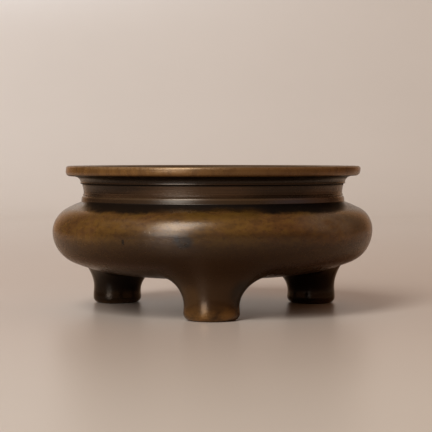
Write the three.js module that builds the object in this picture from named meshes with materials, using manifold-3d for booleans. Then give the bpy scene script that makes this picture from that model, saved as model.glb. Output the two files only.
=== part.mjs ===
// A bronze tripod incense burner: a squat round bowl with a banded neck and a turned-out lip, on three
// short waisted feet. Each foot is a hollow casting. Its saddle head lies against the bowl's underside,
// its tenon passes through the floor and is hammered to a low head inside, and its clay casting core is
// still in it. Millimetres, +Z up. The origin is on the ground under the middle of the bowl, and the
// front foot points to -Y.
import * as THREE from "three";
import { mergeVertices } from "three/addons/utils/BufferGeometryUtils.js";
import Module from "manifold-3d";

// Belly of the bowl: arcs in the section plane, angles in degrees from the horizontal
const bellyRadius = 80;
const bellyHeight = 39.3;
const shoulderArc = 12.5;
const shoulderSlope = 26;
const lowerArc = 16.6;
const undersideSlope = 22.3;
const undersideArc = 88;
const bowlWall = 4;

// Lip
const rimHeight = 71.3;
const lipRadius = 73.6;
const lipThickness = 4.6;
const lipTopRound = 1;
const lipUnderRound = 2.3;
const mouthRound = 1.6;

// Neck, from the lip down to the shoulder
const neckRadius = 64.7;
const neckWall = 3.6;
const coveDepth = 1.5;
const upperBandHeight = 2.5;
const upperBandProud = 1.6;
const upperGrooveWidth = 0.5;
const upperGrooveDepth = 0.9;
const neckHollow = 0.8;
const fineGrooveWidth = 0.5;
const fineGrooveDepth = 0.25;
const fineGroovePitch = 0.9;
const lowerBandHeight = 2.5;
const lowerBandProud = 1.3;

// Feet: plan sizes are half widths of the oval column, along and across the bowl's radius
const footCount = 3;
const footInset = 21.7; // from the belly's widest circle in to the foot's axis
const footHalfAlong = 11.8;
const footHalfAcross = 13;
const footWall = 4.7;
const soleRound = 3.1;
const soleFlare = 0.2;
const flareHeight = 5;
const filletStart = 6.2;
const saddleMargin = 1.9; // from the saddle's outer edge out to the belly's widest circle
const saddleReachIn = 12;
const saddleReachAcross = 15.5;
const saddleEdge = 0.45;
const cavityHeight = 14.5;
const cavityRound = 3;

// Rivet joint through the floor
const tenonRadius = 4.6;
const headRadius = 7.6;
const headRim = 0.8;
const headRise = 1.7;

// Clay core
const coreRecess = 1.2;

const clearance = 0.3;

// Fineness of the facets
const bowlSides = 60;
const footSides = 32;
const holeSides = 24;

const wasm = await Module();
wasm.setup();

const radians = THREE.MathUtils.degToRad;
const footCircle = bellyRadius - footInset;

// Centres of the belly's arcs: each arc runs on from the one before it with no corner.
const shoulderCentre = new THREE.Vector2(bellyRadius - shoulderArc, bellyHeight);
const lowerCentre = new THREE.Vector2(bellyRadius - lowerArc, bellyHeight);
const undersideCentre = new THREE.Vector2(
  lowerCentre.x + (lowerArc - undersideArc) * Math.sin(radians(undersideSlope)),
  lowerCentre.y - (lowerArc - undersideArc) * Math.cos(radians(undersideSlope)),
);

// Points along an arc in the section plane, ends included, angles in degrees from outwards towards up.
function arcPoints(centre, radius, from, to, steps) {
  const points = [];
  for (let i = 0; i <= steps; i++) {
    const angle = radians(from + ((to - from) * i) / steps);
    points.push(new THREE.Vector2(centre.x + radius * Math.cos(angle), centre.y + radius * Math.sin(angle)));
  }
  return points;
}

// The shoulder's cone, as the height at a distance from the axis. The inset is measured square to the
// surface, into the wall, and so is the floor's below.
function shoulderHeight(distance, inset) {
  const reach = shoulderArc - inset;
  const topX = shoulderCentre.x + reach * Math.sin(radians(shoulderSlope));
  const topY = shoulderCentre.y + reach * Math.cos(radians(shoulderSlope));
  return topY + (topX - distance) * Math.tan(radians(shoulderSlope));
}

// The arc that forms the bowl's underside at a distance from the axis, or nothing on the flat middle.
function undersideArcAt(distance, inset) {
  const corner = lowerCentre.x + (lowerArc - inset) * Math.sin(radians(undersideSlope));
  if (distance > corner) return { centre: lowerCentre, radius: lowerArc - inset };
  if (distance > undersideCentre.x) return { centre: undersideCentre, radius: undersideArc - inset };
  return null;
}

// Height of the underside, or with an inset of the wall's thickness, of the floor inside the bowl.
function undersideHeight(distance, inset = 0) {
  const arc = undersideArcAt(distance, inset);
  if (!arc) return undersideCentre.y - (undersideArc - inset);
  return arc.centre.y - Math.sqrt(arc.radius ** 2 - (distance - arc.centre.x) ** 2);
}

// Rise of the underside for each millimetre outwards.
function undersideRise(distance) {
  const arc = undersideArcAt(distance, 0);
  if (!arc) return 0;
  return (distance - arc.centre.x) / (arc.centre.y - undersideHeight(distance));
}

// The turned neck, from the shoulder up to the lip's underside.
function neckPoints() {
  const lowerBandRadius = neckRadius + lowerBandProud;
  const upperBandRadius = neckRadius + upperBandProud;
  const base = shoulderHeight(lowerBandRadius, 0);
  const lowerBandTop = base + lowerBandHeight;
  const lipUnderside = rimHeight - lipThickness;
  const upperBandTop = lipUnderside - coveDepth;
  const upperBandBottom = upperBandTop - upperBandHeight;
  const points = [[lowerBandRadius, base], [neckRadius + lowerBandProud / 2, lowerBandTop - lowerBandHeight / 4]];
  // Two fine grooves stand just above the lower band.
  for (let i = 0; i < 2; i++) {
    const middle = lowerBandTop + fineGroovePitch * (i + 0.5);
    const radius = neckRadius + neckHollow / 4;
    points.push([radius, middle - fineGrooveWidth / 2]);
    points.push([radius - fineGrooveDepth, middle]);
    points.push([radius, middle + fineGrooveWidth / 2]);
  }
  const hollowFrom = lowerBandTop + 2 * fineGroovePitch;
  const hollowTo = upperBandBottom - upperGrooveWidth;
  const hollowSteps = 3;
  for (let i = 1; i <= hollowSteps; i++) {
    const share = i / hollowSteps;
    points.push([neckRadius + neckHollow * share ** 2, THREE.MathUtils.lerp(hollowFrom, hollowTo, share)]);
  }
  points.push([upperBandRadius - upperGrooveDepth, upperBandBottom - upperGrooveWidth / 2]);
  points.push([upperBandRadius - upperGrooveDepth / 3, upperBandBottom]);
  points.push([upperBandRadius, upperBandBottom + upperBandHeight / 2]);
  points.push([upperBandRadius + coveDepth / 8, upperBandTop]);
  points.push([upperBandRadius + coveDepth / 2, lipUnderside - coveDepth / 3]);
  return points.map(([x, y]) => new THREE.Vector2(x, y));
}

// Section of the bowl, from the middle of its underside up the outside, over the lip and down inside.
function bowlSection() {
  const underTurn = undersideSlope - 90;
  const mouthRadius = neckRadius - neckWall;
  const lipUnder = new THREE.Vector2(lipRadius - lipUnderRound, rimHeight - lipThickness + lipUnderRound);
  const lipTop = new THREE.Vector2(lipRadius - lipTopRound, rimHeight - lipTopRound);
  const mouth = new THREE.Vector2(mouthRadius + mouthRound, rimHeight - mouthRound);
  return [
    new THREE.Vector2(0, undersideHeight(0)),
    ...arcPoints(undersideCentre, undersideArc, -90, underTurn, 5),
    ...arcPoints(lowerCentre, lowerArc, underTurn, 0, 7).slice(1),
    ...arcPoints(shoulderCentre, shoulderArc, 0, 90 - shoulderSlope, 6).slice(1),
    ...neckPoints(),
    ...arcPoints(lipUnder, lipUnderRound, -80, 0, 4),
    ...arcPoints(lipTop, lipTopRound, 0, 90, 3),
    ...arcPoints(mouth, mouthRound, 90, 180, 3),
    new THREE.Vector2(mouthRadius, shoulderHeight(mouthRadius, bowlWall)),
    ...arcPoints(shoulderCentre, shoulderArc - bowlWall, 90 - shoulderSlope, 0, 5),
    ...arcPoints(lowerCentre, lowerArc - bowlWall, 0, underTurn, 5).slice(1),
    ...arcPoints(undersideCentre, undersideArc - bowlWall, underTurn, -90, 5).slice(1),
    new THREE.Vector2(0, undersideHeight(0, bowlWall)),
  ];
}

// A closed geometry as a solid that can be cut.
function solidOf(geometry) {
  geometry.deleteAttribute("normal");
  geometry.deleteAttribute("uv");
  const merged = mergeVertices(geometry);
  return new wasm.Manifold(
    new wasm.Mesh({
      numProp: 3,
      vertProperties: merged.getAttribute("position").array,
      triVerts: new Uint32Array(merged.index.array),
    }),
  );
}

function geometryOf(solid) {
  const mesh = solid.getMesh();
  const geometry = new THREE.BufferGeometry();
  geometry.setAttribute("position", new THREE.BufferAttribute(mesh.vertProperties, 3));
  geometry.setIndex(new THREE.BufferAttribute(mesh.triVerts, 1));
  geometry.computeVertexNormals();
  return geometry;
}

// The feet stand at even steps round the bowl, with the first at the front.
function footAngle(index) {
  return radians(-90 + (360 / footCount) * index);
}

function bowlGeometry() {
  const turned = new THREE.LatheGeometry(bowlSection(), bowlSides);
  turned.rotateX(Math.PI / 2);
  let bowl = solidOf(turned);
  const holeRadius = (tenonRadius + clearance) / Math.cos(Math.PI / holeSides);
  const floorHeight = undersideHeight(footCircle, bowlWall / 2);
  for (let i = 0; i < footCount; i++) {
    const drill = new THREE.CylinderGeometry(holeRadius, holeRadius, 4 * bowlWall, holeSides);
    drill.rotateX(Math.PI / 2);
    drill.translate(footCircle, 0, floorHeight);
    drill.rotateZ(footAngle(i));
    bowl = bowl.subtract(solidOf(drill));
  }
  return geometryOf(bowl);
}

// A closed solid round its own Z axis from one section for each direction. Each section has the same
// number of points, [distance, height], and begins and ends on the axis.
function solidRound(sectionAt, sides) {
  const sections = [];
  for (let i = 0; i < sides; i++) sections.push(sectionAt((2 * Math.PI * i) / sides));
  const rings = sections[0].length - 2;
  const positions = [0, 0, sections[0][0][1]];
  for (let ring = 1; ring <= rings; ring++) {
    for (let i = 0; i < sides; i++) {
      const turn = (2 * Math.PI * i) / sides;
      const [distance, height] = sections[i][ring];
      positions.push(distance * Math.cos(turn), distance * Math.sin(turn), height);
    }
  }
  positions.push(0, 0, sections[0][rings + 1][1]);
  const faces = [];
  const last = rings * sides + 1;
  for (let i = 0; i < sides; i++) {
    const next = (i + 1) % sides;
    faces.push(0, 1 + i, 1 + next);
    for (let ring = 0; ring < rings - 1; ring++) {
      const upper = 1 + ring * sides;
      const lower = upper + sides;
      faces.push(upper + i, lower + i, lower + next);
      faces.push(upper + i, lower + next, upper + next);
    }
    faces.push(last, last - sides + next, last - sides + i);
  }
  const geometry = new THREE.BufferGeometry();
  geometry.setAttribute("position", new THREE.Float32BufferAttribute(positions, 3));
  geometry.setIndex(faces);
  geometry.computeVertexNormals();
  return geometry;
}

// Radius of an ellipse in a direction. Direction 0 points away from the bowl's axis.
function ellipseRadius(halfAlong, halfAcross, direction) {
  return (halfAlong * halfAcross) / Math.hypot(halfAcross * Math.cos(direction), halfAlong * Math.sin(direction));
}

// Distance from the bowl's axis of a point that lies at a distance from the foot's axis in a direction.
function fromBowlAxis(distance, direction) {
  return Math.hypot(footCircle + distance * Math.cos(direction), distance * Math.sin(direction));
}

// The hollow in the foot, narrowed by an inset, from its rounded ceiling down to a height: it is open at
// the sole, and the clay core has the same form.
function hollowPoints(direction, inset, bottom) {
  const side = ellipseRadius(footHalfAlong, footHalfAcross, direction) - footWall - inset;
  const ceiling = cavityHeight - inset;
  const points = [[0, ceiling]];
  for (const turn of [90, 60, 30, 0]) {
    const inward = cavityRound * (1 - Math.cos(radians(turn)));
    points.push([side - inward, ceiling - cavityRound * (1 - Math.sin(radians(turn)))]);
  }
  points.push([side, bottom]);
  return points;
}

// Section of a foot in one direction, from the top of its rivet head down the outside and up the hollow.
function footSection(direction) {
  const column = ellipseRadius(footHalfAlong, footHalfAcross, direction);
  const reachAlong = Math.cos(direction) > 0 ? footInset - saddleMargin : footHalfAlong + saddleReachIn;
  const edge = ellipseRadius(reachAlong, footHalfAcross + saddleReachAcross, direction);
  const floorAt = (distance) => undersideHeight(fromBowlAxis(distance, direction), bowlWall) + clearance;
  const saddleAt = (distance) => undersideHeight(fromBowlAxis(distance, direction)) - clearance;
  const points = [];

  // Domed rivet head on the bowl's floor, and the tenon down through the hole
  for (const share of [0, 0.5, 0.8, 1]) {
    const distance = headRadius * share;
    points.push([distance, floorAt(distance) + headRim + headRise * (1 - share ** 2)]);
  }
  points.push([headRadius, floorAt(headRadius)]);
  points.push([tenonRadius, floorAt(tenonRadius)]);

  // Saddle against the bowl's underside
  const saddleSteps = 6;
  for (let i = 0; i <= saddleSteps; i++) {
    const distance = THREE.MathUtils.lerp(tenonRadius, edge, i / saddleSteps);
    points.push([distance, saddleAt(distance)]);
  }

  // Fillet: a conic arc that leaves the saddle's edge along the underside and ends upright on the column
  const edgeFromAxis = fromBowlAxis(edge, direction);
  const rise = (undersideRise(edgeFromAxis) * (footCircle * Math.cos(direction) + edge)) / edgeFromAxis;
  const edgeHeight = saddleAt(edge) - saddleEdge;
  const corner = edgeHeight - rise * (edge - column);
  const weight = Math.cos((Math.PI / 2 - Math.atan(rise)) / 2);
  const filletSteps = 7;
  for (let i = 0; i <= filletSteps; i++) {
    const t = i / filletSteps;
    const [fromEdge, fromCorner, fromColumn] = [(1 - t) ** 2, 2 * weight * t * (1 - t), t ** 2];
    const total = fromEdge + fromCorner + fromColumn;
    const distance = (fromEdge * edge + (fromCorner + fromColumn) * column) / total;
    const height = (fromEdge * edgeHeight + fromCorner * corner + fromColumn * filletStart) / total;
    points.push([distance, height]);
  }

  // Slight flare down to the sole's rounded edge
  points.push([column + soleFlare / 2, (flareHeight + soleRound) / 2]);
  for (const turn of [0, 30, 60, 90]) {
    const out = column + soleFlare - soleRound * (1 - Math.cos(radians(turn)));
    points.push([out, soleRound * (1 - Math.sin(radians(turn)))]);
  }
  return [...points, ...hollowPoints(direction, 0, 0).reverse()];
}

function coreSection(direction) {
  return [...hollowPoints(direction, clearance, coreRecess), [0, coreRecess]];
}

// Materials
const patinatedBronze = { color: 0x57401f, roughness: 0.4, metalness: 0.8 };
const rubbedBronze = { color: 0x654a26, roughness: 0.38, metalness: 0.8 };
const firedClay = { color: 0x7a5a44, roughness: 0.95, metalness: 0 };

function namedMesh(name, geometry, finish) {
  const mesh = new THREE.Mesh(geometry, new THREE.MeshStandardMaterial(finish));
  mesh.name = name;
  return mesh;
}

const group = new THREE.Group();
group.add(namedMesh("bowl", bowlGeometry(), patinatedBronze));

["front", "rear_right", "rear_left"].forEach((place, i) => {
  const mount = new THREE.Group();
  mount.rotation.z = footAngle(i);
  const foot = namedMesh("foot_" + place, solidRound(footSection, footSides), rubbedBronze);
  const core = namedMesh("foot_core_" + place, solidRound(coreSection, footSides), firedClay);
  foot.position.x = footCircle;
  core.position.x = footCircle;
  mount.add(foot, core);
  group.add(mount);
});

export default group;
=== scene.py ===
import math

import bpy
import numpy as np
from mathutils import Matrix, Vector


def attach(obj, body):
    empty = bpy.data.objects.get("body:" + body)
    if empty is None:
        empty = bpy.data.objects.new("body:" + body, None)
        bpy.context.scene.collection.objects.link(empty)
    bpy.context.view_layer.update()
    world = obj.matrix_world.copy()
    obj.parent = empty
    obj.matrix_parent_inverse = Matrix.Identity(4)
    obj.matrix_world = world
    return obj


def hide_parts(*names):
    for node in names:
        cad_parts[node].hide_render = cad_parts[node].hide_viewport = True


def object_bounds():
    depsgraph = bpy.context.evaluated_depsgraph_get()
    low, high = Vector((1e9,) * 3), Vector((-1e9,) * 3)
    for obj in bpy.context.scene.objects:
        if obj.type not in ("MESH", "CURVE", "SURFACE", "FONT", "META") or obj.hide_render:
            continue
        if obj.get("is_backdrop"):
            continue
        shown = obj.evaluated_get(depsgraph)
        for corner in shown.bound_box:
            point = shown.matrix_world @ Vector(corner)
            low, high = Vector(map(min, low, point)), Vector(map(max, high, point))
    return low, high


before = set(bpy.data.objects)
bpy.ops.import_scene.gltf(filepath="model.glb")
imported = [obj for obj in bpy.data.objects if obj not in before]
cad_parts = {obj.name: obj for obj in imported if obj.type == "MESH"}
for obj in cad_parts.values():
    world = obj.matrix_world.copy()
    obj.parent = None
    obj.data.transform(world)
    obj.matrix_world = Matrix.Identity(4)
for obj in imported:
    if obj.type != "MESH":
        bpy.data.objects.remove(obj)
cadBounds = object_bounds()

# A bronze tripod incense burner. Sections and sizes are in millimetres until a mesh is made, +Z is up,
# the burner's axis is Z and the front foot points to -Y.

mm = 0.001
bellyRadius = cadBounds[1].x / mm
rimHeight = cadBounds[1].z / mm
neckRadius = 64.7


def linear(code, alpha=1.0):
    # An sRGB hex colour as linear light: the standard curve, a power of 2.4 above its short straight foot.
    parts = np.array([int(code[i:i + 2], 16) for i in (1, 3, 5)]) / 255
    curved = np.where(parts <= 0.04045, parts / 12.92, ((parts + 0.055) / 1.055) ** 2.4)
    return (*curved.tolist(), alpha)


def smoothStep(value, start, end):
    # Rises from 0 at start to 1 at end with a level tangent at both.
    share = np.clip((value - start) / (end - start), 0, 1)
    return share * share * (3 - 2 * share)


# Camera, at the photograph's angle: the long lens stands a little above the rim
camera = {
    "distance": 771.6,  # from the burner's axis, level
    "height": 76.7,
    "azimuth": 0.8,  # degrees round to the right
    "focal": 1537.0,  # in pixels of a picture 432 wide
    "frame": 432.0,
    "axisAt": 212.5,  # the pixel column that the burner's axis falls on
    "horizonAt": 155.1,  # the pixel row that the horizon falls on
}


def placeCamera(c):
    # Turned by its azimuth, then tilted and panned by the angles whose tangents are pixels over focal length.
    sensor = 36.0
    turn = math.radians(c["azimuth"])
    data = bpy.data.cameras.new("camera")
    data.sensor_width = sensor
    data.lens = c["focal"] * sensor / c["frame"]
    data.clip_start = 0.01
    data.clip_end = 50
    seat = bpy.data.objects.new("camera", data)
    bpy.context.scene.collection.objects.link(seat)
    reach = c["distance"] * mm
    seat.location = (reach * math.sin(turn), -reach * math.cos(turn), c["height"] * mm)
    pitch = math.atan((c["frame"] / 2 - c["horizonAt"]) / c["focal"])
    pan = math.atan((c["frame"] / 2 - c["axisAt"]) / c["focal"])
    seat.rotation_euler = (math.pi / 2 - pitch, 0, turn - pan)
    bpy.context.scene.camera = seat


placeCamera(camera)
print("camera placed")


# Form shared by the pieces

# The belly is three arcs that run on from each other; angles are from the horizontal.
belly = {
    "height": 39.3,  # of the widest point
    "shoulderArc": 12.5,
    "shoulderSlope": 26.0,
    "lowerArc": 16.6,
    "undersideSlope": 22.3,
    "undersideArc": 88.0,
    "wall": 4.0,
}
shoulderCentre = np.array([bellyRadius - belly["shoulderArc"], belly["height"]])
lowerCentre = np.array([bellyRadius - belly["lowerArc"], belly["height"]])
undersideTurn = math.radians(belly["undersideSlope"])
undersideCentre = lowerCentre + (belly["lowerArc"] - belly["undersideArc"]) * np.array(
    [math.sin(undersideTurn), -math.cos(undersideTurn)])


def undersideHeight(distance, inset=0.0):
    # Height of the underside at a distance from the axis: the lower arc near the edge, then the long arc,
    # then the level middle. An inset of the wall's thickness gives the floor inside.
    corner = lowerCentre[0] + (belly["lowerArc"] - inset) * math.sin(undersideTurn)
    tight = belly["lowerArc"] - inset
    wide = belly["undersideArc"] - inset
    pastTight = np.maximum(distance - lowerCentre[0], 0)
    pastWide = np.maximum(distance - undersideCentre[0], 0)
    byTight = lowerCentre[1] - np.sqrt(np.maximum(tight ** 2 - pastTight ** 2, 0))
    byWide = undersideCentre[1] - np.sqrt(wide ** 2 - pastWide ** 2)
    return np.where(distance > corner, byTight, byWide)


def undersideRise(distance):
    # Rise of the underside for each millimetre outwards: across over down, from the arc's centre.
    corner = lowerCentre[0] + belly["lowerArc"] * math.sin(undersideTurn)
    height = undersideHeight(distance)
    byTight = (distance - lowerCentre[0]) / np.maximum(lowerCentre[1] - height, 1e-6)
    byWide = np.maximum(distance - undersideCentre[0], 0) / (undersideCentre[1] - height)
    return np.where(distance > corner, byTight, byWide)


def arcRow(centre, radius, start, end, count):
    # Points along an arc, angles in degrees from outwards towards up.
    turn = np.radians(np.linspace(start, end, count))
    return np.stack([centre[0] + radius * np.cos(turn), centre[1] + radius * np.sin(turn)], 1)


# The casting is a little out of true: the belly sits lower on the left than on the right, the neck and the
# feet stand off to the right of the belly's middle, and the lines turned on the neck sink towards both sides.
settle = {
    "slope": 0.0065,
    "pivot": 10.0,
    "low": (4, 24),  # heights between which the lean sets in
    "high": (53, 45),  # heights between which it ends, from the top down
    "offset": 0.4,
    "neckOffset": 0.2,  # how much less of it the neck has
    "swell": (22, 36, 44, 53),  # heights where the belly's swell begins, is full, is still full, and ends
    "sag": (0.55, 0.35),  # of the neck's lines at its left and right sides
    "sagLoss": (0.15, 0.25),  # how much less it is under the lip
    "sagLossFrom": (57, 67),
    "sagFrom": (52, 55),
    "sagTo": (70.4, 68),
}


def settled(points):
    # Heights in the belly sink in proportion to the distance from the pivot, every point outside the belly's
    # swell moves to the right, and the neck sinks by the square of the distance to the side.
    height = points[..., 2].copy()
    share = smoothStep(height, *settle["low"]) * smoothStep(height, *settle["high"])
    points[..., 2] -= settle["slope"] * (settle["pivot"] - points[..., 0]) * share
    low, full, stillFull, top = settle["swell"]
    inSwell = smoothStep(height, low, full) * smoothStep(height, top, stillFull)
    aside = points[..., 0] / neckRadius
    onNeck = smoothStep(height, *settle["sagFrom"]) * smoothStep(height, *settle["sagTo"])
    loss = np.where(aside < 0, *settle["sagLoss"]) * smoothStep(height, *settle["sagLossFrom"])
    sag = np.where(aside < 0, *settle["sag"]) - loss
    points[..., 2] -= sag * aside ** 2 * onNeck
    points[..., 0] += settle["offset"] * (1 - inSwell) - settle["neckOffset"] * onNeck
    return points


def makePiece(name, grid, materials, sharpAngle=35.0, rowMaterial=None):
    # A closed skin from a grid of rows: each row goes once round, and the first and last rows are poles.
    # Seen from outside, each row lies below or outside the row before it.
    rows, around = grid.shape[:2]
    middle = grid[1:-1].reshape(-1, 3)
    vertices = np.concatenate([grid[:1, :1].reshape(1, 3), middle, grid[-1:, :1].reshape(1, 3)]) * mm
    step = np.arange(around)
    nextStep = (step + 1) % around
    upper = 1 + np.arange(rows - 3)[:, None] * around
    quads = np.stack([upper + step, upper + around + step, upper + around + nextStep, upper + nextStep], -1)
    last = len(vertices) - 1
    top = np.stack([np.zeros_like(step), 1 + step, 1 + nextStep], -1)
    bottom = np.stack([np.full_like(step, last), last - around + nextStep, last - around + step], -1)
    mesh = bpy.data.meshes.new(name)
    mesh.from_pydata(vertices.tolist(), [], top.tolist() + quads.reshape(-1, 4).tolist() + bottom.tolist())
    for material in materials:
        mesh.materials.append(material)
    if rowMaterial is not None:
        mesh.polygons.foreach_set("material_index", np.repeat(rowMaterial, around).astype(np.int32))
    mesh.shade_smooth()
    mesh.set_sharp_from_angle(angle=math.radians(sharpAngle))
    mesh.update()
    piece = bpy.data.objects.new(name, mesh)
    bpy.context.scene.collection.objects.link(piece)
    return piece


def addNode(tree, kind, settings=None, inputs=None):
    # Adds a shader node. An input that is a node takes that node's first output in use.
    node = tree.nodes.new("ShaderNode" + kind)
    for name, value in (settings or {}).items():
        setattr(node, name, value)
    for name, value in (inputs or {}).items():
        if isinstance(value, bpy.types.Node):
            value = next(output for output in value.outputs if output.enabled)
        if isinstance(value, bpy.types.NodeSocket):
            tree.links.new(value, node.inputs[name])
        else:
            node.inputs[name].default_value = value
    return node


def newMaterial(name):
    # An empty node material and its tree.
    material = bpy.data.materials.new(name)
    material.use_nodes = True
    material.node_tree.nodes.clear()
    return material, material.node_tree


def onSurface(azimuth, height, radius):
    # The place at an azimuth in degrees, to the right as the camera sees it, a height and a radius.
    turn = math.radians(azimuth + camera["azimuth"])
    return (radius * math.sin(turn) * mm, -radius * math.cos(turn) * mm, height * mm)


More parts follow.
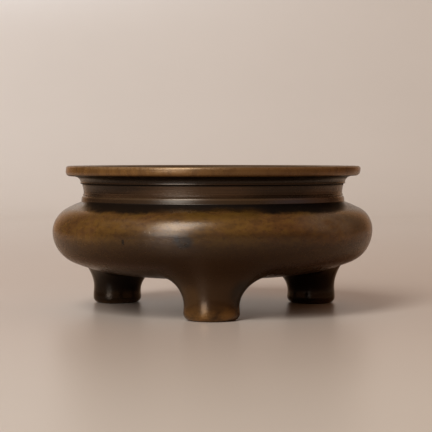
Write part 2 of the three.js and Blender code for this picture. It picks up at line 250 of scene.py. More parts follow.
# Cast bronze with an old brown patina that was waxed and handled. The oxide skin hides most of the metal, so
# the gloss is satin and nearly colourless and the brown comes from under it. Sizes are in millimetres.
bronze = {
    "tone": "#5b3b1c",
    "roughness": 0.27,
    "roughnessSpread": 0.16,  # from the smoothest mottle to the dullest
    "metallic": 0.17,
    "tint": "#fff6e6",  # of the mirror share, from the brown skin
    "patterns": {
        "cloud": {"size": (40, 40, 26), "detail": 3.0},  # slow changes of tone, a little flattened by wiping
        "mottle": {"size": (10, 10, 6), "detail": 5.0},
        "fleck": {"size": (4.5, 4.5, 2.2), "detail": 4.0},
        "speck": {"size": (1.7, 1.7, 1.2), "detail": 3.0},
        "turned": {"size": (70, 70, 0.55), "detail": 2.0},  # level lines left by turning the neck
        "stroke": {"size": (3, 3, 12), "detail": 3.0},  # upright strokes of the polishing on the lip
        "grain": {"size": (0.7, 0.7, 0.7), "detail": 2.0},  # skin of the casting
    },
    "noiseRoughness": 0.6,
    "bumps": [("grain", 0.02), ("mottle", 0.06), ("fleck", 0.02), ("speck", 0.015)],
    "turnedBump": 0.05,
    "turnedFrom": (53.0, 54.0),  # heights between which the turned lines set in
    "spotFull": 0.45,  # share of a spot's half size within which it is full
    "drift": {"mottle": 3.4, "speck": 1.3},  # of the residue's ragged edge
    # Each layer lies over the ones before it. Its share is cut down where a field lies towards the first of
    # two values, and by the distance from a spot: azimuth, height and radius, then its half sizes.
    "layers": [
        # Body: warmer, redder, paler and darker tones in clouds and flecks
        {"tone": "#65461b", "share": 0.7, "where": [("cloud", 0.42, 0.6)]},
        {"tone": "#5c3a22", "share": 0.45, "where": [("mottle", 0.5, 0.68)]},
        {"tone": "#70501f", "share": 0.35, "where": [("fleck", 0.48, 0.62)]},
        {"tone": "#28190f", "share": 0.4, "where": [("speck", 0.52, 0.7)]},
        {"tone": "#38240f", "share": 0.35, "where": [("fleck", 0.5, 0.36)]},
        # Painted shade: darker below the belly's widest point, first at the front, then all round, and more
        # metal on the underside under a darker tone that is painted shade too
        {"tone": "#1f1209", "share": 0.6, "where": [("height", 43.8, 39.3), ("depth", -52, -72)]},
        {"tone": "#1f1209", "share": 0.55, "where": [("height", 39, 33.5)]},
        {"tone": "#2f1c0d", "share": 0.8, "where": [("height", 38, 26)], "metallic": 0.72,
         "tint": "#d0b090"},
        # Feet: glossier, worn warm towards the soles; painted light on the front foot's left side, painted
        # shade on its right side, and black painted shade low at the back, on the rear feet
        {"tone": "#3e2916", "share": 0.6, "where": [("height", 24, 14)], "roughness": 0.22,
         "metallic": 0.42, "tint": "#fff6e6"},
        {"tone": "#5a4024", "share": 0.5, "where": [("height", 19, 13)], "spot": (-10, 10, 68, 8, 14)},
        {"tone": "#80592c", "share": 0.78, "where": [("mottle", 0.3, 0.66), ("height", 9.5, 1.0)]},
        {"tone": "#15110d", "share": 0.7, "where": [("mottle", 0.2, 0.5)], "spot": (10.5, 14, 64, 8, 13)},
        {"tone": "#120c08", "share": 0.85, "where": [("height", 26, 20), ("depth", 0, 15)]},
        {"tone": "#5a3a1e", "share": 0.35, "where": [("mottle", 0.3, 0.55), ("height", 3.0, 1.2),
         ("depth", 0, 15)]},
        # Belly: olive on the shoulder, two pale hazes of painted sheen beside the highlight, a blue-black
        # stain, nicks and pale specks
        {"tone": "#583d12", "share": 0.6, "where": [("cloud", 0.38, 0.55), ("height", 46.5, 49),
         ("height", 54, 52)]},
        {"tone": "#6b5844", "share": 0.2, "where": [("mottle", 0.3, 0.6)], "spot": (-32, 45, 80, 17, 3)},
        {"tone": "#756552", "share": 0.5, "where": [("mottle", 0.2, 0.55)], "spot": (60, 45.5, 80, 48, 9)},
        {"tone": "#1d1c1d", "share": 0.85, "where": [("mottle", 0.35, 0.55)],
         "spot": (-9.6, 37.8, 80, 6.2, 4.4)},
        {"tone": "#130c07", "share": 0.9, "spot": (-31, 36.7, 80, 1.1, 1.9)},
        {"tone": "#130c07", "share": 0.8, "spot": (-8.4, 35.8, 80, 1.6, 1.2)},
        {"tone": "#a08c74", "share": 0.6, "where": [("speck", 0.54, 0.62)],
         "spot": (-21.5, 41.8, 80, 2.6, 1.2)},
        # Neck: a dark ground, browner in places, then its bands, with painted highlights on two of their
        # edges, and turned lines
        {"tone": "#2c1d12", "share": 0.95, "where": [("height", 52.6, 53.8), ("height", 67.2, 66.5)],
         "metallic": 0.4},
        {"tone": "#573d26", "share": 0.6, "where": [("height", 56, 57), ("height", 64, 63)],
         "spot": (-6, 60, 65, 34, 12)},
        {"tone": "#40301f", "share": 0.65, "where": [("height", 53.8, 54.3), ("height", 56.9, 56.4)],
         "spot": (30, 55, 66, 110, 12), "metallic": 0.15},
        {"tone": "#4a4347", "share": 0.7, "where": [("height", 53.8, 54.3), ("height", 56.9, 56.4),
         ("side", 20, 42)]},
        {"tone": "#5b4027", "share": 0.5, "where": [("height", 53.8, 54.3), ("height", 62.5, 61.5)],
         "spot": (62, 57, 66, 28, 12)},
        {"tone": "#5b4029", "share": 0.55, "where": [("height", 56, 57), ("height", 60.5, 58.5)],
         "spot": (-38, 58, 65, 26, 12)},
        {"tone": "#150e0a", "share": 0.6, "where": [("height", 62.9, 63.1), ("height", 65.6, 65.2)],
         "metallic": 0.4},
        {"tone": "#150d08", "share": 0.5, "where": [("height", 57.6, 58.8)],
         "spot": (-58, 61.5, 65, 34, 9)},
        # Painted highlight: a lighter line along the upper band's lower edge
        {"tone": "#5b4632", "share": 0.4, "where": [("height", 62.9, 63.1), ("height", 63.6, 63.3)]},
        {"tone": "#150d08", "share": 0.6, "where": [("turned", 0.45, 0.75), ("height", 56.4, 56.9),
         ("height", 67.2, 66.5)]},
        # Painted highlight: lighter along the top edge of the lower band
        {"tone": "#7a5c3e", "share": 0.25, "where": [("height", 55.5, 55.9), ("height", 56.8, 56.5)]},
        # Partly wax and dirt, partly painted shade: black in the groove and in the cove under the lip
        {"tone": "#0c0805", "share": 0.9, "where": [("height", 62.0, 62.35), ("height", 63.0, 62.8)],
         "roughness": 0.7, "metallic": 0.8},
        {"tone": "#1c1208", "share": 0.9, "where": [("height", 65.0, 65.6), ("height", 67.3, 66.7)],
         "roughness": 0.5, "metallic": 0.6},
        # Residue round the foot of the neck, with a ragged lower edge
        {"tone": "#19100a", "share": 0.95, "where": [("frayed", 51.0, 52.6), ("height", 54.2, 53.7),
         ("side", -63, -57), ("side", 66, 60)], "roughness": 0.6, "metallic": 0.7},
        {"tone": "#2f1e10", "share": 0.6, "where": [("frayed", 49.9, 51.6), ("height", 53, 52),
         ("side", -58, -50), ("side", 62, 50)], "metallic": 0.7},
        {"tone": "#23170d", "share": 0.9, "where": [("frayed", 49.2, 51.0), ("height", 54.2, 53.7),
         ("side", -62, -56), ("side", -16, -30)], "roughness": 0.6, "metallic": 0.8},
        {"tone": "#140d09", "share": 0.9, "where": [("frayed", 49.2, 51.0), ("height", 54.2, 53.7),
         ("side", 14, 30), ("side", 66, 60)], "roughness": 0.6, "metallic": 0.8},
        # Lip: rubbed warm, with painted shade darker to the right and painted highlights as bright lines near
        # its upper edge
        {"tone": "#77532a", "share": 1.0, "where": [("height", 66.7, 67.3)], "metallic": 0.3},
        {"tone": "#583b1e", "share": 0.65, "where": [("height", 66.7, 67.3)],
         "spot": (20, 69, 73.6, 44, 8)},
        {"tone": "#4d3018", "share": 0.4, "where": [("stroke", 0.45, 0.62), ("height", 66.7, 67.3)]},
        {"tone": "#91714b", "share": 0.7, "where": [("speck", 0.3, 0.55), ("height", 69.6, 70.6)],
         "spot": (-22, 70, 73, 50, 8)},
        {"tone": "#7a5634", "share": 0.6, "where": [("speck", 0.3, 0.55), ("height", 69.6, 70.6)],
         "spot": (42, 70, 73, 48, 8)},
        # Inside of the mouth, and the lip's flat top
        {"tone": "#3d2a14", "share": 0.85, "where": [("radius", 67, 65), ("height", 65, 67),
         ("height", 71.28, 70.9)], "roughness": 0.6, "metallic": 0.6},
        {"tone": "#443015", "share": 0.7, "where": [("height", 71.05, 71.25)], "roughness": 0.6,
         "metallic": 0.4},
    ],
}


def addLayer(tree, fields, finish, layer, spotFull):
    # Lays one tone, of the patina or of painted light or shade, over the finish so far, by the product of the
    # layer's masks.
    masks = [(fields[name], low, high) for name, low, high in layer.get("where", [])]
    if "spot" in layer:
        azimuth, level, radius, across, up = layer["spot"]
        away = addNode(tree, "VectorMath", {"operation": "SUBTRACT"}, {
            0: fields["place"], 1: onSurface(azimuth, level, radius)})
        away = addNode(tree, "VectorMath", {"operation": "DIVIDE"}, {
            0: away, 1: (across * mm, across * mm, up * mm)})
        away = addNode(tree, "VectorMath", {"operation": "LENGTH"}, {0: away})
        masks.append((away, 1.0, spotFull))
    share = layer["share"]
    for value, low, high in masks:
        mask = addNode(tree, "MapRange", {"interpolation_type": "SMOOTHSTEP"}, {
            "Value": value, "From Min": low, "From Max": high})
        share = addNode(tree, "Math", {"operation": "MULTIPLY"}, {0: mask, 1: share})
    finish["tone"] = addNode(tree, "Mix", {"data_type": "RGBA"}, {
        0: share, 6: finish["tone"], 7: linear(layer["tone"])})
    if "tint" in layer:
        finish["tint"] = addNode(tree, "Mix", {"data_type": "RGBA"}, {
            0: share, 6: finish["tint"], 7: linear(layer["tint"])})
    for quality in ("roughness", "metallic"):
        if quality in layer:
            finish[quality] = addNode(tree, "Mix", {}, {0: share, 2: finish[quality], 3: layer[quality]})


def bronzeMaterial(b):
    # Every field is a place or a noise in millimetres. The layers lie over the base tone in their order.
    material, tree = newMaterial("patinatedCastBronze")
    place = addNode(tree, "TexCoord").outputs["Object"]
    inMillimetres = addNode(tree, "VectorMath", {"operation": "SCALE"}, {0: place, "Scale": 1 / mm})
    parts = addNode(tree, "SeparateXYZ", {}, {0: inMillimetres})
    level = addNode(tree, "CombineXYZ", {}, {"X": parts.outputs["X"], "Y": parts.outputs["Y"]})
    fields = {
        "place": place,
        "side": parts.outputs["X"],
        "depth": parts.outputs["Y"],
        "height": parts.outputs["Z"],
        "radius": addNode(tree, "VectorMath", {"operation": "LENGTH"}, {0: level}),
    }
    for name, pattern in b["patterns"].items():
        counts = tuple(1 / size for size in pattern["size"])
        scaled = addNode(tree, "VectorMath", {"operation": "MULTIPLY"}, {0: inMillimetres, 1: counts})
        fields[name] = addNode(tree, "TexNoise", {}, {
            "Vector": scaled, "Scale": 1.0, "Detail": pattern["detail"], "Roughness": b["noiseRoughness"]})
    # Height with a ragged drift, in millimetres from the mottling and the specks
    halfDrift = sum(b["drift"].values()) / 2
    frayed = addNode(tree, "Math", {"operation": "SUBTRACT"}, {0: fields["height"], 1: halfDrift})
    for name, reach in b["drift"].items():
        frayed = addNode(tree, "Math", {"operation": "MULTIPLY_ADD"}, {0: fields[name], 1: reach, 2: frayed})
    fields["frayed"] = frayed
    rough = addNode(tree, "Math", {"operation": "MULTIPLY_ADD"}, {
        0: fields["mottle"], 1: b["roughnessSpread"], 2: b["roughness"] - b["roughnessSpread"] / 2})
    finish = {
        "tone": linear(b["tone"]), "tint": linear(b["tint"]), "roughness": rough, "metallic": b["metallic"]}
    for layer in b["layers"]:
        addLayer(tree, fields, finish, layer, b["spotFull"])
    turnedLow, turnedHigh = b["turnedFrom"]
    onNeck = addNode(tree, "MapRange", {"interpolation_type": "SMOOTHSTEP"}, {
        "Value": fields["height"], "From Min": turnedLow, "From Max": turnedHigh})
    fields["neckLines"] = addNode(tree, "Math", {"operation": "MULTIPLY"}, {0: fields["turned"], 1: onNeck})
    previous = {}
    for name, depth in [*b["bumps"], ("neckLines", b["turnedBump"])]:
        previous = {"Normal": addNode(tree, "Bump", {}, {
            "Height": fields[name], "Distance": depth * mm, **previous})}
    shader = addNode(tree, "BsdfPrincipled", {}, {
        "Base Color": finish["tone"], "Metallic": finish["metallic"], "Roughness": finish["roughness"],
        "Specular Tint": finish["tint"], **previous})
    addNode(tree, "OutputMaterial", {}, {"Surface": shader})
    return material


# Bronze inside the bowl, where incense ash has lain: dull, grey-brown and matt, with paler patches of ash.
soot = {
    "bare": "#33261a",
    "ash": "#70614d",
    "metallic": 0.2,
    "roughness": 0.75,
    "patchSize": 14.0,
    "patchFrom": (0.45, 0.75),
    "mostAsh": 0.5,
    "grainSize": 0.9,
    "grainDepth": 0.06,
}


def sootMaterial(s):
    # Ash over the bare bronze by a slow noise, under a bump of fine grain.
    material, tree = newMaterial("sootedBronze")
    place = addNode(tree, "TexCoord").outputs["Object"]
    patch = addNode(tree, "TexNoise", {}, {
        "Vector": place, "Scale": 1 / (s["patchSize"] * mm), "Detail": 5.0, "Roughness": 0.65})
    grain = addNode(tree, "TexNoise", {}, {
        "Vector": place, "Scale": 1 / (s["grainSize"] * mm), "Detail": 2.0})
    low, high = s["patchFrom"]
    share = addNode(tree, "MapRange", {}, {
        "Value": patch, "From Min": low, "From Max": high, "To Max": s["mostAsh"]})
    colour = addNode(tree, "Mix", {"data_type": "RGBA"}, {
        0: share, 6: linear(s["bare"]), 7: linear(s["ash"])})
    bump = addNode(tree, "Bump", {}, {"Height": grain, "Distance": s["grainDepth"] * mm})
    shader = addNode(tree, "BsdfPrincipled", {}, {
        "Base Color": colour, "Metallic": s["metallic"], "Roughness": s["roughness"], "Normal": bump})
    addNode(tree, "OutputMaterial", {}, {"Surface": shader})
    return material


# Fired clay of the casting cores: matt, sandy and crumbling, smoked dark by the pour.
clay = {
    "body": "#7d5a44",
    "smoked": "#3b2c23",
    "roughness": 0.95,
    "patchSize": 5.0,
    "gritSize": 0.5,
    "gritDepth": 0.3,
}


def clayMaterial(c):
    # Smoke over the clay by a slow noise, under a bump of grit.
    material, tree = newMaterial("firedClayCore")
    place = addNode(tree, "TexCoord").outputs["Object"]
    patch = addNode(tree, "TexNoise", {}, {
        "Vector": place, "Scale": 1 / (c["patchSize"] * mm), "Detail": 5.0, "Roughness": 0.7})
    grit = addNode(tree, "TexNoise", {}, {
        "Vector": place, "Scale": 1 / (c["gritSize"] * mm), "Detail": 3.0, "Roughness": 0.7})
    colour = addNode(tree, "Mix", {"data_type": "RGBA"}, {
        0: patch, 6: linear(c["body"]), 7: linear(c["smoked"])})
    bump = addNode(tree, "Bump", {}, {"Height": grit, "Distance": c["gritDepth"] * mm})
    shader = addNode(tree, "BsdfPrincipled", {}, {
        "Base Color": colour, "Roughness": c["roughness"], "Normal": bump})
    addNode(tree, "OutputMaterial", {}, {"Surface": shader})
    return material


outerBronze = bronzeMaterial(bronze)
innerBronze = sootMaterial(soot)
coreClay = clayMaterial(clay)
print("materials made")


# Bowl: lip, turned neck, belly and floor
bowl = {
    "around": 300,
    "mouthRadius": neckRadius - 3.6,
    "mouthRound": 1.6,
    "lipRadius": 73.6,
    "lipThickness": 4.6,
    "lipTopRound": 1.2,
    "lipUnderRound": 2.3,
    "mouthBreak": 1.2,  # where the inside turns up from the shoulder into the mouth
    "cornerRound": 0.16,  # how far the turned corners are softened
    "neckStep": 0.2,  # spacing of the rows on the neck
    "waver": 0.07,  # depth of the hand finish's unevenness
    "waverTop": (53, 50),  # heights between which it sets in, from the top down
    "waverFoot": (24, 34),  # heights between which it sets in, from the feet up
    "dents": 14,
    "dentDepth": 0.16,
    "dentHeights": (24, 50),
    "dentSizes": (3.5, 8),
}

# Distances and heights of the turned neck's corners, from the shoulder up to the lip's underside
neckCorners = np.array([
    [65.8, 53.9],
    [65.74, 55.0],
    [65.58, 56.1],
    [65.35, 56.65],
    [64.95, 56.9],
    [64.75, 57.15],
    [65.1, 57.45],
    [65.1, 57.8],
    [64.6, 58.1],
    [64.72, 58.45],
    [64.7, 59.2],
    [64.92, 60.8],
    [65.3, 62.2],
    [65.31, 62.55],
    [65.3, 62.8],
    [66.3, 63.0],
    [66.15, 63.5],
    [66.2, 64.1],
    [66.45, 64.7],
    [66.85, 65.3],
    [67.5, 66.0],
    [69.2, 66.55],
])


def evenRow(points, step):
    # The same broken line with points at an even spacing.
    along = np.concatenate([[0], np.cumsum(np.hypot(*np.diff(points, axis=0).T))])
    at = np.linspace(0, along[-1], int(along[-1] / step) + 1)
    return np.stack([np.interp(at, along, points[:, 0]), np.interp(at, along, points[:, 1])], 1)


def softened(points, step, size):
    # Each point becomes the weighted mean of its neighbours, with weights that fall off as a bell curve.
    reach = int(3 * size / step) + 1
    weights = np.exp(-0.5 * (np.arange(-reach, reach + 1) * step / size) ** 2)
    padded = np.concatenate([np.repeat(points[:1], reach, 0), points, np.repeat(points[-1:], reach, 0)])
    return np.stack([np.convolve(padded[:, i], weights / weights.sum(), "valid") for i in (0, 1)], 1)


def bowlSection(b):
    # From the middle of the floor inside, up over the lip, down the outside, to the middle of the underside.
    inner = -belly["wall"]
    underTurn = belly["undersideSlope"] - 90
    shoulderTurn = 90 - belly["shoulderSlope"]
    mouth = (b["mouthRadius"] + b["mouthRound"], rimHeight - b["mouthRound"])
    lipTop = (b["lipRadius"] - b["lipTopRound"], rimHeight - b["lipTopRound"])
    lipUnder = (b["lipRadius"] - b["lipUnderRound"], rimHeight - b["lipThickness"] + b["lipUnderRound"])
    innerShoulder = arcRow(shoulderCentre, belly["shoulderArc"] + inner, 0, shoulderTurn, 16)
    slope = math.tan(math.radians(belly["shoulderSlope"]))
    innerNeck = innerShoulder[-1][1] + (innerShoulder[-1][0] - b["mouthRadius"]) * slope
    inside = [
        arcRow(undersideCentre, belly["undersideArc"] + inner, -90, underTurn, 18),
        arcRow(lowerCentre, belly["lowerArc"] + inner, underTurn, 0, 16)[1:],
        innerShoulder[1:],
        np.linspace(
            (b["mouthRadius"] + b["mouthBreak"], innerNeck - b["mouthBreak"] * slope),
            (b["mouthRadius"], innerNeck + 1.0), 4),
        np.linspace(
            (b["mouthRadius"], innerNeck + 2),
            (b["mouthRadius"], rimHeight - b["mouthRound"] - 1), 6),
    ]
    lip = [
        arcRow(mouth, b["mouthRound"], 180, 90, 10),
        np.linspace((mouth[0] + 1, rimHeight), (lipTop[0] - 0.5, rimHeight), 8),
        arcRow(lipTop, b["lipTopRound"], 90, 0, 12),
        arcRow(lipUnder, b["lipUnderRound"], 0, -78, 14),
    ]
    shoulder = arcRow(shoulderCentre, belly["shoulderArc"], shoulderTurn, 0, 30)
    rough = np.concatenate([lip[3][-4:], neckCorners[::-1], shoulder[:4]])
    neck = softened(evenRow(rough, b["neckStep"]), b["neckStep"], b["cornerRound"])
    # The softened row is cut back to where the lip's round ends and the shoulder's arc goes on
    neck = neck[(neck[:, 0] < lip[3][-4][0] - 0.2) | (neck[:, 1] < shoulder[0][1] + 6)]
    neck = neck[neck[:, 1] > shoulder[3][1] + 0.15]
    outside = [
        shoulder[4:],
        arcRow(lowerCentre, belly["lowerArc"], 0, underTurn, 30)[1:],
        arcRow(undersideCentre, belly["undersideArc"], underTurn, -90, 24)[1:],
    ]
    middleInside = [[0, undersideHeight(0, belly["wall"])]]
    middleOutside = [[0, undersideHeight(0)]]
    insideRows = np.concatenate([middleInside, *inside])
    outsideRows = np.concatenate([*lip[:3], lip[3][:-4], neck, *outside, middleOutside])
    return np.concatenate([insideRows, outsideRows]), len(insideRows)


def handFinish(b, height, turn):
    # Unevenness of the finish, always inwards: the sum of three sines that run round and up the wall, and
    # shallow dents that fall off as a bell curve.
    draw = np.random.default_rng(11)
    wave = (np.sin(3 * turn + 1.3 + height / 9) + np.sin(5 * turn - 0.7 - height / 7)
            + np.sin(8 * turn + 2.1 + height / 5)) / 3
    depth = b["waver"] * (1 - wave) / 2
    for _ in range(b["dents"]):
        centre = draw.uniform(-math.pi, math.pi)
        level = draw.uniform(*b["dentHeights"])
        size = draw.uniform(*b["dentSizes"])
        across = (np.mod(turn - centre + math.pi, 2 * math.pi) - math.pi) * bellyRadius
        fall = np.exp(-(across ** 2 + (height - level) ** 2) / size ** 2)
        depth = depth + b["dentDepth"] * draw.uniform(0.3, 1) * fall
    return depth


def makeBowl(b):
    # The section turned round the axis, then moved along its normals by the depth of the hand finish.
    section, insideCount = bowlSection(b)
    turn = np.linspace(0, 2 * math.pi, b["around"], endpoint=False)
    distance = np.repeat(section[:, :1], b["around"], 1)
    height = np.repeat(section[:, 1:], b["around"], 1)
    along = np.gradient(section, axis=0)
    lengths = np.maximum(np.hypot(along[:, 0], along[:, 1]), 1e-9)
    outward = np.stack([-along[:, 1], along[:, 0]], 1) / lengths[:, None]
    # Only the belly's outside is uneven: not the turned neck and lip, and not where the feet join
    wide = smoothStep(section[:, 1], *b["waverTop"]) * (np.arange(len(section)) >= insideCount)
    clearOfFeet = smoothStep(section[:, 1], *b["waverFoot"])
    depth = handFinish(b, height, turn[None, :]) * (wide * clearOfFeet)[:, None]
    distance = distance - depth * outward[:, :1]
    height = height - depth * outward[:, 1:]
    grid = np.stack([distance * np.cos(turn), distance * np.sin(turn), height], -1)
    # Soot covers the inside up to just below the rim
    rowMaterial = np.where(np.arange(len(section) - 1) < insideCount - 4, 1, 0)
    return makePiece("bowl_casting", settled(grid), [outerBronze, innerBronze], rowMaterial=rowMaterial)


bowlPiece = makeBowl(bowl)
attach(bowlPiece, "root")
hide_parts("bowl")
print("bowl made")


# Feet: oval columns whose fillets run out into the belly
foot = {
    "around": 192,
    "inset": 21.7,  # from the belly's widest circle in to the foot's axis
    "halfAlong": 11.8,
    "halfAcross": 13.0,
    "wall": 4.7,
    "soleRound": 3.1,
    "soleFlare": 0.2,
    "filletStart": 6.2,
    "outerRise": 4.5,  # how much higher the fillet starts on the side away from the bowl's axis
    "outerFlare": {"front": 0.75},  # the front foot spreads more towards its sole on that side
    "otherFlare": 0.1,
    "saddleMargin": 1.9,
    "saddleReachIn": 12.0,
    "saddleReachAcross": 15.5,
    "widerFillet": {"front": (-1.5, 3.6)},  # the front foot's was filed more on its left than on its right
    "feather": 0.12,  # how far the fillet's edge goes under the belly's skin
    "cavityHeight": 14.5,
    "cavityRound": 3.0,
    "clearance": 0.3,
    "tenonRadius": 4.6,
    "headRadius": 7.6,
    "headRim": 0.8,
    "headRise": 1.7,  # of the rivet head's middle over its rim
}
footCircle = bellyRadius - foot["inset"]
footAngles = {"front": -90.0, "rear_right": 30.0, "rear_left": 150.0}


def ellipseRadius(halfAlong, halfAcross, direction):
    # Radius of an oval in a direction: the product of its half widths over the hypotenuse of each half width
    # times the other one's sine or cosine.
    return halfAlong * halfAcross / np.hypot(halfAcross * np.cos(direction), halfAlong * np.sin(direction))


def fromAxis(distance, direction):
    # Distance from the bowl's axis of a point at a distance from the foot's axis.
    return np.hypot(footCircle + distance * np.cos(direction), distance * np.sin(direction))


def hollowRows(f, direction, inset, bottom, count=9):
    # Rows from the hollow's rounded ceiling down its side to the bottom height.
    side = ellipseRadius(f["halfAlong"], f["halfAcross"], direction) - f["wall"] - inset
    ceiling = f["cavityHeight"] - inset
    rows = [(np.zeros_like(side), np.full_like(side, ceiling))]
    for share in np.linspace(0.2, 0.8, 4):
        rows.append(((side - f["cavityRound"]) * share, np.full_like(side, ceiling)))
    for turn in np.radians(np.linspace(90, 0, count)):
        rows.append((side - f["cavityRound"] * (1 - np.cos(turn)),
                     np.full_like(side, ceiling - f["cavityRound"] * (1 - np.sin(turn)))))
    for level in np.linspace(ceiling - f["cavityRound"], bottom, 8)[1:]:
        rows.append((side, np.full_like(side, level)))
    return rows


def footRows(f, direction, wider, outerFlare):
    # One row for each level, from the middle of the rivet head down the outside and up the hollow. A row is a
    # distance from the foot's axis and a height for each direction.
    column = ellipseRadius(f["halfAlong"], f["halfAcross"], direction)
    reachOut = f["inset"] - f["saddleMargin"]
    reachIn = f["halfAlong"] + f["saddleReachIn"]
    reachAlong = np.where(np.cos(direction) > 0, reachOut, reachIn)
    reachAcross = f["halfAcross"] + f["saddleReachAcross"] + (
        np.where(np.sin(direction) < 0, *wider) * np.abs(np.sin(direction)))
    edge = ellipseRadius(reachAlong, reachAcross, direction)
    outer = np.maximum(np.cos(direction), 0) ** 2
    filletStart = f["filletStart"] + f["outerRise"] * outer
    soleFlare = f["soleFlare"] + outerFlare * outer
    rows = []
    # Rivet head on the floor, then the tenon, then the saddle that turns up into the belly's skin
    for share in np.sin(np.linspace(0, math.pi / 2, 14)):
        distance = f["headRadius"] * share * np.ones_like(edge)
        floor = undersideHeight(fromAxis(distance, direction), belly["wall"]) + f["clearance"] * share
        dome = f["headRim"] * math.sqrt(max(1 - share ** 6, 0)) + f["headRise"] * (1 - share ** 2)
        rows.append((distance, floor + dome))
    for distance in (f["headRadius"] * 0.98, f["tenonRadius"]):
        around = distance * np.ones_like(edge)
        rows.append((around, undersideHeight(fromAxis(around, direction), belly["wall"]) + f["clearance"]))
    for share in np.linspace(0, 1, 14):
        distance = f["tenonRadius"] + (edge + 0.5 - f["tenonRadius"]) * share
        gap = f["clearance"] - (f["clearance"] + 2 * f["feather"]) * smoothStep(share, 0.6, 0.95)
        rows.append((distance, undersideHeight(fromAxis(distance, direction)) - gap))

    # The fillet is a conic arc: it leaves the belly along its slope and ends upright on the column
    edgeFromAxis = fromAxis(edge, direction)
    rise = undersideRise(edgeFromAxis) * (footCircle * np.cos(direction) + edge) / edgeFromAxis
    edgeHeight = undersideHeight(edgeFromAxis)
    corner = edgeHeight - rise * (edge - column)
    weight = np.cos((math.pi / 2 - np.arctan(rise)) / 2)
    for t in np.linspace(0, 1, 44) ** 1.15:
        shares = ((1 - t) ** 2, 2 * weight * t * (1 - t), t ** 2)
        total = shares[0] + shares[1] + shares[2]
        distance = (shares[0] * edge + (shares[1] + shares[2]) * column) / total
        height = (shares[0] * edgeHeight + shares[1] * corner + shares[2] * filletStart) / total
        rows.append((distance, height + f["feather"] * (1 - t) ** 12))
    for share in np.linspace(0, 1, 14)[1:-1]:
        level = filletStart + (f["soleRound"] - filletStart) * share
        rows.append((column + soleFlare * smoothStep(share, 0, 1), level))
    for turn in np.radians(np.linspace(0, 90, 12)):
        rows.append((column + soleFlare - f["soleRound"] * (1 - np.cos(turn)),
                     np.full_like(column, f["soleRound"] * (1 - np.sin(turn)))))
    rows.append((column - f["wall"] + 0.5, np.zeros_like(column)))
    return rows + hollowRows(f, direction, 0.0, 0.3)[::-1]


def gridOf(rows, direction, angle):
    # Places the rows round the foot's axis and turns the foot to its angle round the bowl.
    distance = np.stack([row[0] for row in rows])
    height = np.stack([row[1] for row in rows])
    along = footCircle + distance * np.cos(direction)
    across = distance * np.sin(direction)
    turn = math.radians(angle)
    return settled(np.stack([
        along * math.cos(turn) - across * math.sin(turn),
        along * math.sin(turn) + across * math.cos(turn),
        height], -1))


def crumbled(grid, seed, depth):
    # Roughens the core's open end: each low point moves up by a random share of the depth.
    draw = np.random.default_rng(seed)
    low = grid[..., 2] < foot["clearance"] + 3
    grid[..., 2] += np.where(low, draw.uniform(0, depth, grid.shape[:2]), 0)
    grid[0, :, 2] = grid[0, :1, 2].mean()
    grid[-1, :, 2] = grid[-1, :, 2].mean()
    return grid


core = {"around": 96, "recess": 1.2, "crumble": 0.35}
for index, (place, angle) in enumerate(footAngles.items()):
    direction = np.linspace(0, 2 * math.pi, foot["around"], endpoint=False)
    wider = foot["widerFillet"].get(place, (0, 0))
    outerFlare = foot["outerFlare"].get(place, foot["otherFlare"])
    rows = footRows(foot, direction, wider, outerFlare)
    piece = makePiece("casting_foot_" + place, gridOf(rows, direction, angle), [outerBronze])
    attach(piece, "root")
    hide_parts("foot_" + place)

    direction = np.linspace(0, 2 * math.pi, core["around"], endpoint=False)
    rows = hollowRows(foot, direction, foot["clearance"], core["recess"])
    side = rows[-1][0]
    rows += [(side * share, np.full_like(side, core["recess"])) for share in np.linspace(1, 0, 12)[1:]]
    grid = crumbled(gridOf(rows, direction, angle), 20 + index, core["crumble"])
    piece = makePiece("clay_core_" + place, grid, [coreClay])
    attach(piece, "root")
    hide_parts("foot_core_" + place)
print("feet and cores made")


# Studio: a sweep of pale satin board, a soft window of light from the left front with a dim card under it,
# and a faint fill all round. Its lengths are in metres.
studio = {
    # Painted light: the board is paler up the wall than on the floor, and paler on the floor near the front
    "floorTone": "#d1bda9",
    "nearLitTone": "#ddceba",
    "wallTone": "#ebe1d3",
    "floorTo": 0.1,  # how far back the floor's tone reaches before it turns to the wall's
    "nearFrom": -0.35,  # how far forward the near tone is full
    # Painted shade: the board darkens towards the right between these two distances across
    "rightShade": (0.86, 0.83, 0.80),
    "rightShadeFrom": (-0.42, 0.35),
    "sideShadeTone": "#dcae82",  # painted shade: out of sight to the sides the board turns warmer and darker, darker on the floor, then dull
    "sideFloorShadeTone": "#9c7650",
    "sideFrom": (0.4, 0.85),
    "endShadeTone": "#5a4430",
    "endFrom": (0.9, 1.5),
    "cloudsPerMetre": 4.0,
    "cloudShade": 0.97,
    "roughness": 0.33,
    "front": -3.0,  # where the board begins in front
    "back": 1.1,  # where it starts to bend up
    "bend": 0.5,
    "wall": 2.4,
    "half": 3.0,  # half its width
    "lightAzimuth": -30.5,
    "lightDistance": 4.5,
    "lightAim": 0.04,  # height of the point that the lamps face
    "lightTone": "#e8f3ff",  # daylight
    "lights": [
        {"name": "window", "elevation": 44.8, "width": 1.65, "height": 2.75, "radiance": 12.0},
        {"name": "card", "elevation": 15.0, "width": 1.65, "height": 1.65, "radiance": 6.8},
    ],
    "fill": 0.24,
    "fillTone": "#ffc49a",
}


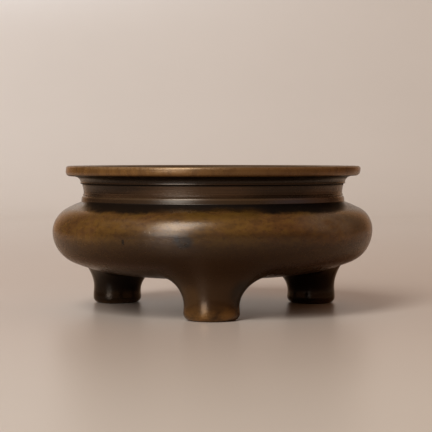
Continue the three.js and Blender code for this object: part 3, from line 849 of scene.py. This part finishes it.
def makeSweep(s):
    # The board lies level, bends up by a quarter circle and ends as a wall, the same all the way across.
    turn = np.linspace(0, math.pi / 2, 24)
    bend = np.stack([s["back"] + s["bend"] * np.sin(turn), s["bend"] * (1 - np.cos(turn))], 1)
    profile = np.concatenate([[[s["front"], 0]], bend, [[s["back"] + s["bend"], s["wall"]]]])
    count = len(profile)
    left = np.column_stack([np.full(count, -s["half"]), profile])
    right = np.column_stack([np.full(count, s["half"]), profile])
    step = np.arange(count - 1)
    faces = np.stack([step, step + count, step + count + 1, step + 1], 1)
    mesh = bpy.data.meshes.new("board_sweep")
    mesh.from_pydata(np.concatenate([left, right]).tolist(), [], faces.tolist())
    mesh.shade_smooth()
    material, tree = newMaterial("satinBoard")
    place = addNode(tree, "TexCoord").outputs["Object"]
    cloud = addNode(tree, "TexNoise", {}, {
        "Vector": place, "Scale": s["cloudsPerMetre"], "Detail": 4.0, "Roughness": 0.6})
    clouded = addNode(tree, "MapRange", {}, {
        "Value": cloud, "From Min": 0.3, "From Max": 0.7, "To Min": s["cloudShade"], "To Max": 1.0})
    parts = addNode(tree, "SeparateXYZ", {}, {0: place})
    # Painted light and shade on the board: paler up the wall and near the front, darker to the right, warmer
    # and darker out to the sides, dull at the ends
    shadeFrom, shadeTo = s["rightShadeFrom"]
    toRight = addNode(tree, "MapRange", {}, {
        "Value": parts.outputs["X"], "From Min": shadeFrom, "From Max": shadeTo})
    back = parts.outputs["Y"]
    far = addNode(tree, "MapRange", {"interpolation_type": "SMOOTHSTEP"}, {
        "Value": back, "From Min": s["floorTo"], "From Max": s["back"]})
    near = addNode(tree, "MapRange", {"interpolation_type": "SMOOTHSTEP"}, {
        "Value": back, "From Min": 0.0, "From Max": s["nearFrom"]})
    tone = addNode(tree, "Mix", {"data_type": "RGBA"}, {
        0: far, 6: linear(s["floorTone"]), 7: linear(s["wallTone"])})
    tone = addNode(tree, "Mix", {"data_type": "RGBA"}, {0: near, 6: tone, 7: linear(s["nearLitTone"])})
    tone = addNode(tree, "Mix", {"data_type": "RGBA", "blend_type": "MULTIPLY"}, {
        0: toRight, 6: tone, 7: (*s["rightShade"], 1.0)})
    away = addNode(tree, "Math", {"operation": "ABSOLUTE"}, {0: parts.outputs["X"]})
    sideShadeTone = addNode(tree, "Mix", {"data_type": "RGBA"}, {
        0: far, 6: linear(s["sideFloorShadeTone"]), 7: linear(s["sideShadeTone"])})
    for shade, (start, end) in ((sideShadeTone, s["sideFrom"]), (linear(s["endShadeTone"]), s["endFrom"])):
        side = addNode(tree, "MapRange", {"interpolation_type": "SMOOTHSTEP"}, {
            "Value": away, "From Min": start, "From Max": end})
        tone = addNode(tree, "Mix", {"data_type": "RGBA"}, {0: side, 6: tone, 7: shade})
    colour = addNode(tree, "VectorMath", {"operation": "SCALE"}, {0: tone, "Scale": clouded})
    shader = addNode(tree, "BsdfPrincipled", {}, {"Base Color": colour, "Roughness": s["roughness"]})
    addNode(tree, "OutputMaterial", {}, {"Surface": shader})
    mesh.materials.append(material)
    sweep = bpy.data.objects.new("board_sweep", mesh)
    bpy.context.scene.collection.objects.link(sweep)
    sweep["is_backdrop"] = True


def addSoftLight(s, light):
    # A rectangle of light that faces the burner. Its power is radiance times area times pi.
    data = bpy.data.lights.new(light["name"], "AREA")
    data.shape = "RECTANGLE"
    data.size = light["width"]
    data.size_y = light["height"]
    data.color = linear(s["lightTone"])[:3]
    data.energy = light["radiance"] * light["width"] * light["height"] * math.pi
    lamp = bpy.data.objects.new(light["name"], data)
    bpy.context.scene.collection.objects.link(lamp)
    turn = math.radians(s["lightAzimuth"])
    lift = math.radians(light["elevation"])
    level = s["lightDistance"] * math.cos(lift)
    height = s["lightDistance"] * math.sin(lift) + s["lightAim"]
    lamp.location = (level * math.sin(turn), -level * math.cos(turn), height)
    lamp.rotation_euler = (math.pi / 2 - lift, 0, turn)


makeSweep(studio)
for light in studio["lights"]:
    addSoftLight(studio, light)
world = bpy.data.worlds.new("studio")
bpy.context.scene.world = world
world.use_nodes = True
world.node_tree.nodes.clear()
background = addNode(world.node_tree, "Background", {}, {
    "Color": linear(studio["fillTone"]), "Strength": studio["fill"]})
addNode(world.node_tree, "OutputWorld", {}, {"Surface": background})
bpy.context.scene.view_settings.view_transform = "Standard"
print("studio lit")

rows = [[list(corner) for corner in bounds] for bounds in (cadBounds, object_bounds())]
